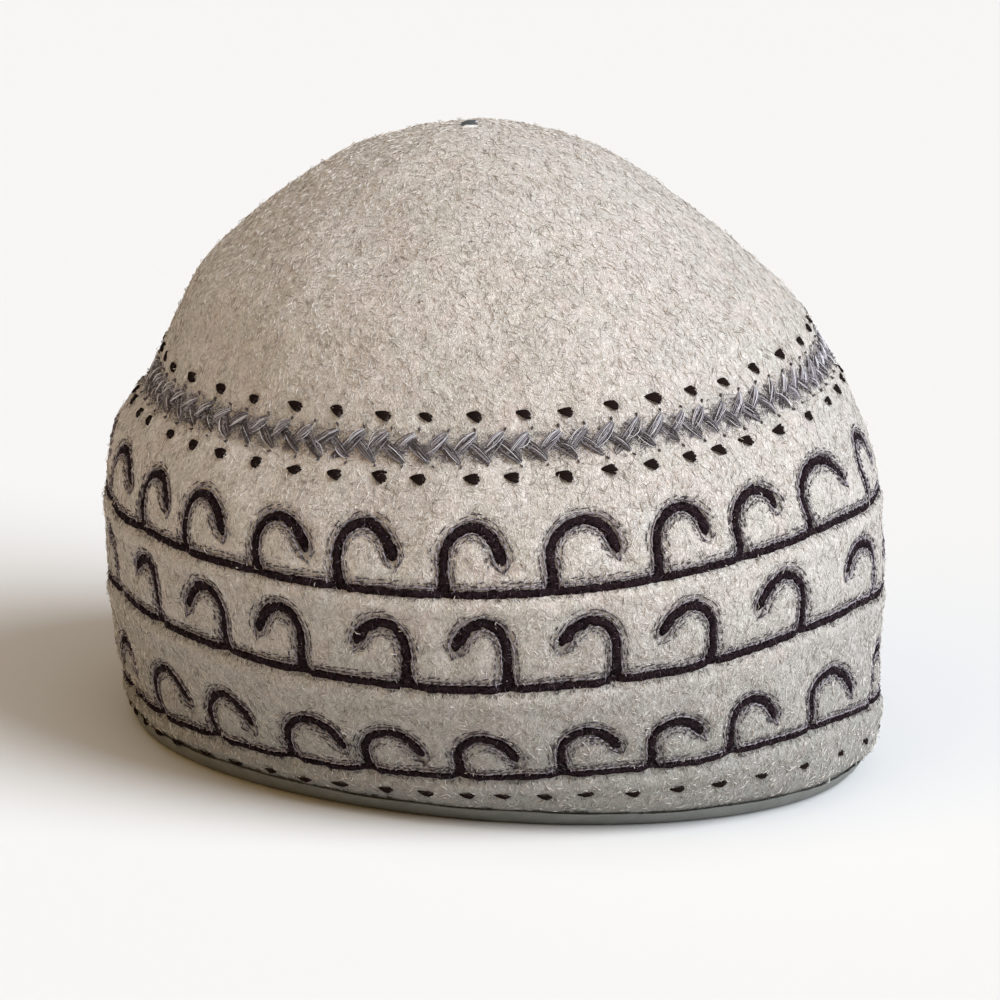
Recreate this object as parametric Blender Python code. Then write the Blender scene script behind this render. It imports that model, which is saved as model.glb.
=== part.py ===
# A felted wool beanie with three rows of couched hook cord, a herringbone band and a bound edge.
# Metres, +Z up. The cap stands on its bound edge, with the middle of its outline over the origin.
# Azimuths are in degrees: 0 faces -Y, the front, and they grow towards +X.

import math
from collections import namedtuple

import bmesh
import bpy
from mathutils import Vector
from mathutils.bvhtree import BVHTree

# The felt's outer wall at each height: half its width along X, half its depth along Y, and how far
# its middle stands to +X. Between levels the wall runs smoothly, and it closes at the crown.
Level = namedtuple("Level", "height half_width half_depth shift")
CAP_LEVELS = (
    Level(0.000, 0.0990, 0.0880, 0.0035),
    Level(0.008, 0.1030, 0.0975, 0.0045),
    Level(0.020, 0.1050, 0.1045, 0.0030),
    Level(0.039, 0.1060, 0.1115, 0.0010),
    Level(0.060, 0.1065, 0.1145, -0.0010),
    Level(0.078, 0.1045, 0.1110, -0.0020),
    Level(0.095, 0.0970, 0.1030, -0.0005),
    Level(0.109, 0.0905, 0.0950, -0.0015),
    Level(0.124, 0.0820, 0.0850, -0.0040),
    Level(0.138, 0.0675, 0.0705, -0.0055),
    Level(0.150, 0.0525, 0.0550, -0.0070),
    Level(0.160, 0.0365, 0.0380, -0.0085),
    Level(0.169, 0.0000, 0.0000, -0.0090),
)

# Lines worked round the cap: height of each, how much higher it runs at +X than in the middle,
# how far it dips at the front and back, how far it sags near +X, and how deep it draws the felt in.
Line = namedtuple("Line", "height tilt dip sag groove")
LINES = {
    "edge": Line(0.0000, 0.0000, 0.0000, 0.0000, 0.0000),
    "lower": Line(0.0177, 0.0077, 0.0020, 0.0060, 0.0012),
    "middle": Line(0.0459, 0.0081, 0.0043, 0.0062, 0.0014),
    "upper": Line(0.0700, 0.0088, 0.0031, 0.0045, 0.0014),
    "band": Line(0.1036, 0.0091, 0.0016, 0.0000, 0.0014),
    "crown": Line(0.1690, 0.0000, 0.0000, 0.0000, 0.0000),
}
SAG_AZIMUTH = 84.0
SAG_WIDTH_BEFORE = 18.0
SAG_WIDTH_BEHIND = 40.0
GROOVE_REACH = 0.0050
CLEAR_OF_WALL = 0.0120

FELT_THICKNESS = 0.0030
EDGE_THICKNESS = 0.0022
SEAT_GAP = 0.0005
CAP_SIDES = 56
SHARP_ANGLE = math.radians(50)
RING_NUMBERS = {"edge": 2, "lower": 3, "middle": 3, "upper": 4, "band": 7}

BINDING_HEIGHT = 0.0046
BINDING_WALL = 0.0009
BINDING_CORNER = 0.0005

BAND_HEIGHT = 0.0064
BAND_THICKNESS = 0.0014
BAND_TOP_SHARE = 0.65

CORD_THICKNESS = 0.0017
CORD_TOP_SHARE = 0.70
STEM_FLARE = 1.5
HOOK_SPACING = 15.0
STATIONS_PER_HOOK = 3

# A hook's cord from its stem to its tip, as shares of the hook's reach along the line, of its rise
# (below the top) or of the drop from top to tip (beyond it), and of the cord's breadth.
HookPoint = namedtuple("HookPoint", "along up breadth")
STEM_POINTS = (
    HookPoint(-0.02, 0.28, 0.90),
    HookPoint(-0.01, 0.64, 0.95),
    HookPoint(0.15, 0.90, 1.00),
    HookPoint(0.44, 1.00, 1.05),
)
TIP_POINTS = (
    HookPoint(0.74, 0.76, 1.10),
    HookPoint(0.93, 0.32, 1.10),
    HookPoint(1.00, 0.00, 0.70),
)

# Where the hooks stand on each row, what each reaches along its line, and how high its top and its
# tip stand over the line. The stretch behind, between the last hook and the first, is spaced evenly.
Hook = namedtuple("Hook", "azimuth reach rise tip")
UPPER_HOOKS = (
    Hook(-76.0, 0.0195, 0.0160, 0.0085),
    Hook(-61.0, 0.0134, 0.0160, 0.0080),
    Hook(-48.7, 0.0147, 0.0160, 0.0070),
    Hook(-34.8, 0.0158, 0.0152, 0.0070),
    Hook(-21.4, 0.0152, 0.0170, 0.0074),
    Hook(-6.0, 0.0150, 0.0167, 0.0072),
    Hook(9.4, 0.0170, 0.0172, 0.0080),
    Hook(25.0, 0.0147, 0.0166, 0.0078),
    Hook(39.2, 0.0136, 0.0155, 0.0090),
    Hook(54.0, 0.0240, 0.0162, 0.0090),
    Hook(76.0, 0.0150, 0.0176, 0.0080),
)
MIDDLE_HOOKS = (
    Hook(-71.0, 0.0130, 0.0155, 0.0100),
    Hook(-56.0, 0.0120, 0.0155, 0.0110),
    Hook(-41.2, 0.0136, 0.0160, 0.0076),
    Hook(-27.3, 0.0134, 0.0165, 0.0080),
    Hook(-11.5, 0.0134, 0.0168, 0.0100),
    Hook(2.6, 0.0133, 0.0180, 0.0102),
    Hook(18.0, 0.0147, 0.0173, 0.0106),
    Hook(33.0, 0.0154, 0.0166, 0.0098),
    Hook(50.4, 0.0170, 0.0170, 0.0095),
    Hook(73.0, 0.0200, 0.0162, 0.0090),
)
LOWER_HOOKS = (
    Hook(-76.0, 0.0150, 0.0150, 0.0080),
    Hook(-60.0, 0.0165, 0.0150, 0.0070),
    Hook(-45.7, 0.0160, 0.0142, 0.0065),
    Hook(-30.7, 0.0165, 0.0128, 0.0055),
    Hook(-18.4, 0.0156, 0.0117, 0.0048),
    Hook(-4.7, 0.0152, 0.0118, 0.0040),
    Hook(9.9, 0.0153, 0.0127, 0.0068),
    Hook(23.3, 0.0145, 0.0129, 0.0078),
    Hook(36.5, 0.0152, 0.0144, 0.0068),
    Hook(53.5, 0.0210, 0.0145, 0.0062),
    Hook(74.0, 0.0150, 0.0145, 0.0070),
)
USUAL_HOOK = Hook(0.0, 0.0150, 0.0160, 0.0080)

# The three cord rows: the line each follows, the way its hooks curl (1 towards +X), and its breadth.
CordRow = namedtuple("CordRow", "line curl breadth hooks")
CORD_ROWS = {
    "lower_hook_cord": CordRow("lower", 1, 0.0020, LOWER_HOOKS),
    "middle_hook_cord": CordRow("middle", -1, 0.0027, MIDDLE_HOOKS),
    "upper_hook_cord": CordRow("upper", 1, 0.0027, UPPER_HOOKS),
}

COLOURS = {
    "felt": (0.50, 0.46, 0.41),
    "binding": (0.17, 0.18, 0.16),
    "dark_cord": (0.018, 0.012, 0.014),
    "grey_yarn": (0.20, 0.19, 0.21),
}
WOOL_ROUGHNESS = 0.9

HEIGHTS = [level.height for level in CAP_LEVELS]
WIDTHS_SQUARED = [level.half_width**2 for level in CAP_LEVELS]
DEPTHS_SQUARED = [level.half_depth**2 for level in CAP_LEVELS]
SHIFTS = [level.shift for level in CAP_LEVELS]


def clear_scene():
    for obj in list(bpy.data.objects):
        bpy.data.objects.remove(obj)


def material(name):
    made = bpy.data.materials.new(name)
    made.use_nodes = True
    shader = made.node_tree.nodes["Principled BSDF"]
    shader.inputs["Base Color"].default_value = (*COLOURS[name], 1.0)
    shader.inputs["Roughness"].default_value = WOOL_ROUGHNESS
    shader.inputs["Metallic"].default_value = 0.0
    return made


# A column's value at a height: a cubic between levels, with slopes that never overshoot them.
def between(values, height):
    last = len(HEIGHTS) - 1
    height = min(max(height, HEIGHTS[0]), HEIGHTS[last])
    index = min(max(i for i in range(last + 1) if HEIGHTS[i] <= height), last - 1)

    def rise(i):
        return (values[i + 1] - values[i]) / (HEIGHTS[i + 1] - HEIGHTS[i])

    def slope(i):
        if i in (0, last):
            return rise(min(i, last - 1))
        before, after = rise(i - 1), rise(i)
        return 0.0 if before * after <= 0 else 2 * before * after / (before + after)

    step = HEIGHTS[index + 1] - HEIGHTS[index]
    t = (height - HEIGHTS[index]) / step
    return (
        values[index] * (1 + 2 * t) * (1 - t) ** 2
        + slope(index) * step * t * (1 - t) ** 2
        + values[index + 1] * t * t * (3 - 2 * t)
        + slope(index + 1) * step * t * t * (t - 1)
    )


def line_height(line, azimuth):
    turn = math.radians(azimuth)
    off = (azimuth - SAG_AZIMUTH + 180.0) % 360.0 - 180.0
    width = SAG_WIDTH_BEFORE if off < 0 else SAG_WIDTH_BEHIND
    sag = line.sag * math.exp(-((off / width) ** 2))
    return line.height + line.tilt * math.sin(turn) - line.dip * math.cos(2 * turn) - sag


def groove_depth(azimuth, height):
    depth = 0.0
    for line in LINES.values():
        off = (height - line_height(line, azimuth)) / GROOVE_REACH
        depth += line.groove * math.exp(-off * off)
    return depth


# A point of the felt's outer side, moved level inwards by inset.
def wall_point(azimuth, height, inset=0.0):
    turn = math.radians(azimuth)
    drawn_in = inset + groove_depth(azimuth, height)
    half_width = max(math.sqrt(max(between(WIDTHS_SQUARED, height), 0.0)) - drawn_in, 0.0)
    half_depth = max(math.sqrt(max(between(DEPTHS_SQUARED, height), 0.0)) - drawn_in, 0.0)
    shift = between(SHIFTS, height)
    return Vector((shift + half_width * math.sin(turn), -half_depth * math.cos(turn), height))


def wall_normal(azimuth, height):
    turn_step, height_step = 1.0, 0.001
    across = wall_point(azimuth + turn_step, height) - wall_point(azimuth - turn_step, height)
    upwards = wall_point(azimuth, height + height_step) - wall_point(azimuth, height - height_step)
    return across.cross(upwards).normalized()


# The heights of the cap's rings at one azimuth. Every worked line has a ring, with others between
# them that crowd towards the crown.
def ring_heights(azimuth):
    names = list(LINES)
    heights = []
    for name, following in zip(names, names[1:]):
        low = line_height(LINES[name], azimuth)
        high = line_height(LINES[following], azimuth)
        for step in range(RING_NUMBERS[name]):
            share = step / RING_NUMBERS[name]
            if following == "crown":
                share = math.sin(share * math.pi / 2)
            heights.append(low + (high - low) * share)
    return heights[1:]


def ring(mesh, azimuths, place):
    made = bmesh.ops.create_circle(mesh, segments=len(azimuths), radius=1.0)["verts"]
    for vert, azimuth in zip(made, azimuths):
        vert.co = place(azimuth)
    return made


# Quads between each loop of vertices and the next, left open over the stretches in skipped.
def loft(mesh, loops, skipped=()):
    for first, second in zip(loops, loops[1:]):
        for index in range(len(first)):
            if index not in skipped:
                mesh.faces.new((first[index - 1], first[index], second[index], second[index - 1]))


def close_at(mesh, loop, top):
    cap = mesh.faces.new(loop)
    centre = bmesh.ops.poke(mesh, faces=[cap])["verts"][0]
    centre.co = top


def finished(mesh, name, slot):
    bmesh.ops.recalc_face_normals(mesh, faces=mesh.faces)
    data = bpy.data.meshes.new(name)
    mesh.to_mesh(data)
    mesh.free()
    data.shade_smooth()
    data.set_sharp_from_angle(angle=SHARP_ANGLE)
    data.materials.append(bpy.data.materials.get(slot) or material(slot))
    obj = bpy.data.objects.new(name, data)
    bpy.context.scene.collection.objects.link(obj)


def even_azimuths():
    return [360.0 * side / CAP_SIDES for side in range(CAP_SIDES)]


# The felt: rings down the outer side, round the cut edge, and up the inner side to the crown.
def felt_cap():
    mesh = bmesh.new()
    azimuths = even_azimuths()
    edge_foot = BINDING_WALL + SEAT_GAP
    edge_neck = BINDING_HEIGHT + SEAT_GAP
    tucked = BINDING_WALL + SEAT_GAP

    def outer_point(index, azimuth):
        return wall_point(azimuth, ring_heights(azimuth)[index])

    def inner_point(index, azimuth):
        height = ring_heights(azimuth)[index]
        return wall_point(azimuth, height) - FELT_THICKNESS * wall_normal(azimuth, height)

    indices = range(len(ring_heights(0.0)))
    outer = [ring(mesh, azimuths, lambda a, i=i: outer_point(i, a)) for i in indices]
    inner = [ring(mesh, azimuths, lambda a, i=i: inner_point(i, a)) for i in indices]
    edge = [
        ring(mesh, azimuths, lambda a, h=height, i=inset: wall_point(a, h, i))
        for height, inset in (
            (edge_neck, tucked),
            (edge_foot, tucked),
            (edge_foot, tucked + EDGE_THICKNESS),
            (edge_neck, tucked + EDGE_THICKNESS),
        )
    ]
    loft(mesh, outer[::-1] + edge + inner)
    crown = CAP_LEVELS[-1]
    close_at(mesh, outer[-1], Vector((crown.shift, 0, crown.height)))
    close_at(mesh, inner[-1], Vector((crown.shift, 0, crown.height - FELT_THICKNESS)))
    tree = BVHTree.FromBMesh(mesh)
    finished(mesh, "felt_cap", "felt")
    return tree


# The binding: a channel that wraps the felt's edge, with its lower corners taken off.
def edge_binding():
    mesh = bmesh.new()
    breadth = 2 * BINDING_WALL + 2 * SEAT_GAP + EDGE_THICKNESS
    section = (
        (BINDING_CORNER, 0.0),
        (0.0, BINDING_CORNER),
        (0.0, BINDING_HEIGHT),
        (BINDING_WALL, BINDING_HEIGHT),
        (BINDING_WALL, BINDING_WALL),
        (breadth - BINDING_WALL, BINDING_WALL),
        (breadth - BINDING_WALL, BINDING_HEIGHT),
        (breadth, BINDING_HEIGHT),
        (breadth, BINDING_CORNER),
        (breadth - BINDING_CORNER, 0.0),
    )
    rings = [
        ring(mesh, even_azimuths(), lambda a, h=height, i=inset: wall_point(a, h, i))
        for inset, height in section
    ]
    loft(mesh, rings + rings[:1])
    finished(mesh, "edge_binding", "binding")


# A point over the felt's own faces at an azimuth and height, stood off them by a distance.
def over_felt(tree, azimuth, height, stand_off):
    outward = Vector((math.sin(math.radians(azimuth)), -math.cos(math.radians(azimuth)), 0.0))
    start = wall_point(azimuth, height) + outward * CLEAR_OF_WALL
    hit, face_normal = tree.ray_cast(start, -outward)[:2]
    smooth_normal = wall_normal(azimuth, height)
    return hit + smooth_normal * (stand_off / abs(face_normal.dot(smooth_normal)))


# Four vertex loops that follow a line round the cap: its lower and upper edges next to the felt,
# then its upper and lower edges on top, the top narrower by top_share.
def strip_loops(mesh, tree, line, azimuths, breadth, thickness, top_share):
    corners = (
        (-breadth / 2, SEAT_GAP),
        (breadth / 2, SEAT_GAP),
        (breadth / 2 * top_share, SEAT_GAP + thickness),
        (-breadth / 2 * top_share, SEAT_GAP + thickness),
    )
    return [
        ring(
            mesh,
            azimuths,
            lambda a, up=up, off=off: over_felt(tree, a, line_height(line, a) + up, off),
        )
        for up, off in corners
    ]


def herringbone_band(tree):
    mesh = bmesh.new()
    loops = strip_loops(
        mesh, tree, LINES["band"], even_azimuths(), BAND_HEIGHT, BAND_THICKNESS, BAND_TOP_SHARE
    )
    loft(mesh, loops + loops[:1])
    finished(mesh, "herringbone_band", "grey_yarn")


# The charted hooks, then evenly spaced ones over the stretch behind.
def hooks_round(row):
    last = row.hooks[-1].azimuth
    behind = row.hooks[0].azimuth + 360.0 - last
    count = round(behind / HOOK_SPACING)
    spare = [USUAL_HOOK._replace(azimuth=last + behind * i / count) for i in range(1, count)]
    return list(row.hooks) + spare


# The middle of a hook's cord, as (along, up, breadth) in metres from the foot of its stem.
def hook_path(hook, breadth):
    stem = [(p.along * hook.reach, p.up * hook.rise, p.breadth * breadth) for p in STEM_POINTS]
    drop = hook.rise - hook.tip
    tip = [(p.along * hook.reach, hook.tip + p.up * drop, p.breadth * breadth) for p in TIP_POINTS]
    return stem + tip


# Carries a row's cord up one hook, from the four vertices round the opening left for its stem.
def hook_cord(mesh, tree, row, hook, opening):
    line = LINES[row.line]
    degree = (wall_point(hook.azimuth + 1, line.height) - wall_point(hook.azimuth, line.height)).length
    path = hook_path(hook, row.breadth)
    loops = [opening]
    for index, (along, up, breadth) in enumerate(path):
        before = path[index - 1] if index else (0.0, 0.0, 0.0)
        after = path[index + 1] if index + 1 < len(path) else path[index]
        way = Vector((after[0] - before[0], after[1] - before[1])).normalized()
        loop = []
        for side, top in ((-1, False), (1, False), (1, True), (-1, True)):
            half = side * row.curl * breadth / 2 * (CORD_TOP_SHARE if top else 1.0)
            azimuth = hook.azimuth + row.curl * (along + way.y * half) / degree
            height = line_height(line, azimuth) + up - way.x * half
            off = SEAT_GAP + (CORD_THICKNESS if top else 0.0)
            loop.append(mesh.verts.new(over_felt(tree, azimuth, height, off)))
        loops.append(loop)
    loft(mesh, loops)
    mesh.faces.new(loops[-1])


# One row: a cord all round its line, with an opening at each stem that a hook grows from.
def hook_cord_row(tree, name):
    mesh = bmesh.new()
    row = CORD_ROWS[name]
    line = LINES[row.line]
    hooks = hooks_round(row)
    degree = (wall_point(1.0, line.height) - wall_point(0.0, line.height)).length
    flare = row.breadth * STEM_FLARE / 2 / degree
    azimuths = []
    for hook, following in zip(hooks, hooks[1:] + [hooks[0]]):
        gap = (following.azimuth - hook.azimuth) % 360.0
        azimuths += [hook.azimuth - flare, hook.azimuth + flare, hook.azimuth + gap / 2]
    stems = range(1, len(azimuths), STATIONS_PER_HOOK)
    low, high, high_top, low_top = strip_loops(
        mesh, tree, line, azimuths, row.breadth, CORD_THICKNESS, CORD_TOP_SHARE
    )
    loft(mesh, [high_top, low_top, low, high])
    loft(mesh, [high, high_top], skipped=stems)
    for hook, stem in zip(hooks, stems):
        opening = [high[stem - 1], high[stem], high_top[stem], high_top[stem - 1]]
        hook_cord(mesh, tree, row, hook, opening)
    finished(mesh, name, "dark_cord")


def build():
    clear_scene()
    tree = felt_cap()
    edge_binding()
    herringbone_band(tree)
    for name in CORD_ROWS:
        hook_cord_row(tree, name)


if __name__ == "__main__":
    build()
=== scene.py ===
# A felted wool beanie: thick felt with three rows of couched hook cord, a herringbone yarn band,
# running stitches and a bound edge. Metres, +Z up. Azimuths are in degrees, 0 at the front (-Y),
# and they grow towards +X. "Off" is a distance off the felt. "Along" the wall is a distance up it from
# the floor, and "along" a line or a strand is a distance on it.

import math

import bmesh
import bpy
import numpy as np
from mathutils import Matrix, Vector
from mathutils.kdtree import KDTree


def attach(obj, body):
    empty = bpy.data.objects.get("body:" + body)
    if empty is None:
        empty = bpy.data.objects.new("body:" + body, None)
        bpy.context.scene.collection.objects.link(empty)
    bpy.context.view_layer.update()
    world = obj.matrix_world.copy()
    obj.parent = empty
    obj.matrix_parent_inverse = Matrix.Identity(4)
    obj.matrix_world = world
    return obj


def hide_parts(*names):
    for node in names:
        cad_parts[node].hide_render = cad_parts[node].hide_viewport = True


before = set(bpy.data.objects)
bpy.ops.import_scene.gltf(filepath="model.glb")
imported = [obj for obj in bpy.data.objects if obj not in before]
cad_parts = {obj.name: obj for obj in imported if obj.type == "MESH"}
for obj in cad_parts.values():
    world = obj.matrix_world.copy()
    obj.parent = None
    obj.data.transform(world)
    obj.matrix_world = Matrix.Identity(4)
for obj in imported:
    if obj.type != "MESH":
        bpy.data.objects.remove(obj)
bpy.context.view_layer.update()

draw = np.random.default_rng(11)
mm = 0.001

# The cap's own form: height, half width, half depth, and how far the middle stands to +X.
capLevels = (
    (0.000, 0.0990, 0.0880, 0.0035),
    (0.008, 0.1030, 0.0975, 0.0045),
    (0.020, 0.1050, 0.1045, 0.0030),
    (0.039, 0.1060, 0.1115, 0.0010),
    (0.060, 0.1065, 0.1145, -0.0010),
    (0.078, 0.1045, 0.1110, -0.0020),
    (0.095, 0.0970, 0.1030, -0.0005),
    (0.109, 0.0905, 0.0950, -0.0015),
    (0.124, 0.0820, 0.0850, -0.0040),
    (0.138, 0.0675, 0.0705, -0.0055),
    (0.150, 0.0525, 0.0550, -0.0070),
    (0.160, 0.0365, 0.0380, -0.0085),
    (0.169, 0.0000, 0.0000, -0.0090),
)
levelHeights, levelWidths, levelDepths, levelShifts = np.array(capLevels).T
topHeight = levelHeights[-1]

# The lines worked round the cap. Each is higher by tilt at +X, dips at the front and back, and sags
# near +X, over a stretch that is short in front and long behind.
lines = {
    "lower": dict(height=0.0177, tilt=0.0077, dip=0.0020, sag=0.0060),
    "middle": dict(height=0.0459, tilt=0.0081, dip=0.0043, sag=0.0062),
    "upper": dict(height=0.0700, tilt=0.0088, dip=0.0031, sag=0.0045),
    "band": dict(height=0.1036, tilt=0.0091, dip=0.0016, sag=0.0),
}
sagAzimuth, sagBefore, sagBehind = 84.0, 18.0, 40.0

# The hooks of each row: azimuth, reach along the line, rise of the top and of the tip over the line,
# and how far the stem leans back.
upperHooks = (
    (-76.0, 0.0195, 0.0160, 0.0085, 0.0), (-61.0, 0.0134, 0.0160, 0.0080, 0.0),
    (-48.7, 0.0147, 0.0160, 0.0070, 0.0), (-34.8, 0.0158, 0.0152, 0.0070, 0.0),
    (-21.4, 0.0152, 0.0170, 0.0074, 0.0), (-6.0, 0.0150, 0.0167, 0.0072, 0.0),
    (9.4, 0.0170, 0.0172, 0.0080, 0.0010), (25.0, 0.0147, 0.0166, 0.0078, 0.0010),
    (39.2, 0.0136, 0.0155, 0.0090, 0.0025), (54.0, 0.0240, 0.0162, 0.0090, 0.0030),
    (76.0, 0.0150, 0.0176, 0.0080, 0.0015),
)
middleHooks = (
    (-71.0, 0.0130, 0.0155, 0.0100, 0.0), (-56.0, 0.0120, 0.0155, 0.0110, 0.0),
    (-41.2, 0.0136, 0.0160, 0.0076, 0.0), (-27.3, 0.0134, 0.0165, 0.0080, 0.0),
    (-11.5, 0.0134, 0.0168, 0.0100, 0.0), (2.6, 0.0133, 0.0180, 0.0102, 0.0),
    (18.0, 0.0147, 0.0173, 0.0106, 0.0), (33.0, 0.0154, 0.0166, 0.0098, 0.0),
    (50.4, 0.0170, 0.0170, 0.0095, 0.0), (74.5, 0.0235, 0.0162, 0.0098, 0.0010),
)
lowerHooks = (
    (-76.0, 0.0150, 0.0150, 0.0080, 0.0), (-60.0, 0.0165, 0.0150, 0.0070, 0.0),
    (-45.7, 0.0160, 0.0142, 0.0065, 0.0), (-30.7, 0.0165, 0.0128, 0.0055, 0.0),
    (-18.4, 0.0156, 0.0117, 0.0048, 0.0), (-4.7, 0.0152, 0.0118, 0.0040, 0.0),
    (9.9, 0.0153, 0.0127, 0.0068, 0.0), (23.3, 0.0145, 0.0129, 0.0078, 0.0),
    (36.5, 0.0152, 0.0144, 0.0068, 0.0), (53.5, 0.0210, 0.0145, 0.0062, 0.0),
    (76.5, 0.0150, 0.0150, 0.0070, 0.0),
)
usualHook = (0.0150, 0.0160, 0.0080, 0.0)
hookSpacing = 15.0  # degrees, over the stretch behind
hookRows = {  # curl is 1 where the hooks bend towards +X
    "lower": dict(curl=1, breadth=0.0023, lineBreadth=0.0016, hooks=lowerHooks),
    "middle": dict(curl=-1, breadth=0.0026, lineBreadth=0.0022, hooks=middleHooks),
    "upper": dict(curl=1, breadth=0.0026, lineBreadth=0.0022, hooks=upperHooks),
}


# A column of the cap's form at some heights, as a cubic that never overshoots its levels.
def between(values, heights):
    heights = np.clip(heights, levelHeights[0], topHeight)
    index = np.clip(np.searchsorted(levelHeights, heights, side="right") - 1, 0, len(values) - 2)
    rises = np.diff(values) / np.diff(levelHeights)
    before, after = rises[:-1], rises[1:]
    agree = before * after > 0
    inner = np.where(agree, 2 * before * after / np.where(agree, before + after, 1.0), 0.0)
    slopes = np.concatenate((rises[:1], inner, rises[-1:]))
    step = np.diff(levelHeights)[index]
    t = (heights - levelHeights[index]) / step
    return (
        values[index] * (1 + 2 * t) * (1 - t) ** 2
        + slopes[index] * step * t * (1 - t) ** 2
        + values[index + 1] * t * t * (3 - 2 * t)
        + slopes[index + 1] * step * t * t * (t - 1)
    )


def plainWall(azimuth, height):
    turn = np.radians(azimuth)
    halfWidth = np.sqrt(np.maximum(between(levelWidths**2, height), 0.0))
    halfDepth = np.sqrt(np.maximum(between(levelDepths**2, height), 0.0))
    x = between(levelShifts, height) + halfWidth * np.sin(turn)
    return np.stack([x, -halfDepth * np.cos(turn), height + 0.0 * turn], axis=-1)


def unit(vectors):
    return vectors / np.maximum(np.linalg.norm(vectors, axis=-1, keepdims=True), 1e-12)


probeTurn, probeRise = 0.5, 0.4 * mm  # how far round (degrees) and up the wall's slope is felt for


def wallNormal(azimuth, height):
    across = plainWall(azimuth + probeTurn, height) - plainWall(azimuth - probeTurn, height)
    upwards = plainWall(azimuth, height + probeRise) - plainWall(azimuth, height - probeRise)
    normal = unit(np.cross(across, upwards))
    atCrown = np.linalg.norm(normal, axis=-1, keepdims=True) < 0.5
    return np.where(atCrown, (0.0, 0.0, 1.0), normal)


# Distance up the wall from the floor, which spaces rings evenly where height doesn't.
tableCount, smallestRadius = 3001, 4 * mm
crowding = np.linspace(1.0, 0.0, tableCount)
tableHeights = topHeight * (1 - crowding**2)
tableRadii = np.sqrt(np.maximum(between(levelWidths * levelDepths, tableHeights), 0.0))
tableAlongs = np.concatenate(([0.0], np.cumsum(np.hypot(np.diff(tableHeights), np.diff(tableRadii)))))
wallLength = tableAlongs[-1]


def heightAt(along):
    return np.interp(along, tableAlongs, tableHeights)


def alongAt(height):
    return np.interp(height, tableHeights, tableAlongs)


def radiusAt(height):
    return np.maximum(np.interp(height, tableHeights, tableRadii), smallestRadius)


def lineHeight(line, azimuth):
    turn = np.radians(azimuth)
    off = (azimuth - sagAzimuth + 180) % 360 - 180
    sag = line["sag"] * np.exp(-((off / np.where(off < 0, sagBefore, sagBehind)) ** 2))
    return line["height"] + line["tilt"] * np.sin(turn) - line["dip"] * np.cos(2 * turn) - sag


def perDegree(line, azimuth):
    return np.linalg.norm(plainWall(azimuth + 1.0, line["height"]) - plainWall(azimuth, line["height"]))


# A smooth wandering value from -1 to 1 or so, made of waves in many directions.
def wander(points, size, count=16):
    ways = unit(draw.normal(size=(count, 3))) * 2 * math.pi / size * draw.uniform(0.6, 1.5, (count, 1))
    return np.sin(points @ ways.T + draw.uniform(0, 2 * math.pi, count)).mean(axis=-1) * math.sqrt(count / 2)


# The courses of the hook cords: azimuth, height and breadth at points a short step apart. The points
# of a hook are shares of its reach, of its rise (stem) or its drop (tip), and of its row's breadth.
hookForm = dict(step=0.5 * mm, footFlare=2.2, footLength=0.14, sideThinning=0.18)
stemPoints = ((0.00, 0.00), (-0.01, 0.30), (-0.01, 0.64), (0.15, 0.90), (0.44, 1.00))
leanShares = (0.0, 0.5, 1.0, 0.9, 0.45)
tipPoints = ((0.74, 0.76), (0.93, 0.32), (1.00, 0.00))
breadthPoints = (0.95, 0.92, 0.92, 0.94, 1.00, 1.12, 1.20, 0.95)


# Points a step apart on a smooth curve through the given ones.
def smoothCourse(knots, step):
    knots = np.array(knots, float)
    ends = np.vstack((2 * knots[0] - knots[1], knots, 2 * knots[-1] - knots[-2]))
    t = np.linspace(0, 1, 12, endpoint=False)[:, None]
    pieces = []
    for a, b, c, d in zip(ends, ends[1:], ends[2:], ends[3:]):
        bend, twist = 2 * a - 5 * b + 4 * c - d, 3 * b - a - 3 * c + d
        pieces.append(0.5 * (2 * b + (c - a) * t + bend * t**2 + twist * t**3))
    curve = np.vstack(pieces + [knots[-1:]])
    travelled = np.concatenate(([0.0], np.cumsum(np.linalg.norm(np.diff(curve[:, :2], axis=0), axis=1))))
    stops = np.linspace(0, travelled[-1], max(int(travelled[-1] / step), 2))
    return np.stack([np.interp(stops, travelled, column) for column in curve.T], axis=-1)


def allHooks(row):
    first, last = row["hooks"][0][0], row["hooks"][-1][0]
    behind = first + 360.0 - last
    count = round(behind / hookSpacing)
    return list(row["hooks"]) + [(last + behind * i / count, *usualHook) for i in range(1, count)]


# The cords are laid a little thinner at the cap's two sides.
def thinned(azimuths):
    return 1 - hookForm["sideThinning"] * np.sin(np.radians(azimuths)) ** 2


def hookCourse(name, hook):
    row, line = hookRows[name], lines[name]
    azimuth, reach, rise, tip, lean = hook
    knots = [(a * reach - share * lean, u * rise) for (a, u), share in zip(stemPoints, leanShares)]
    knots += [(a * reach, tip + u * (rise - tip)) for a, u in tipPoints]
    knots = [(a, u, b * row["breadth"]) for (a, u), b in zip(knots, breadthPoints)]
    alongs, ups, breadths = smoothCourse(knots, hookForm["step"]).T
    azimuths = azimuth + row["curl"] * alongs / perDegree(line, azimuth)
    foot = np.exp(-((ups / (hookForm["footLength"] * rise)) ** 2)) * (alongs < reach / 2)
    breadths = breadths * (1 + (hookForm["footFlare"] - 1) * foot) * thinned(azimuths)
    return azimuths, lineHeight(line, azimuths) + ups, breadths


def lineCourse(name):
    row, line = hookRows[name], lines[name]
    count = int(360 * perDegree(line, 0.0) / hookForm["step"])
    azimuths = np.linspace(180, 540, count, endpoint=False)  # it starts and ends behind
    return azimuths, lineHeight(line, azimuths), row["lineBreadth"] * thinned(azimuths)


hookCourses = {name: [hookCourse(name, hook) for hook in allHooks(row)] for name, row in hookRows.items()}
lineCourses = {name: lineCourse(name) for name in hookRows}

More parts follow.
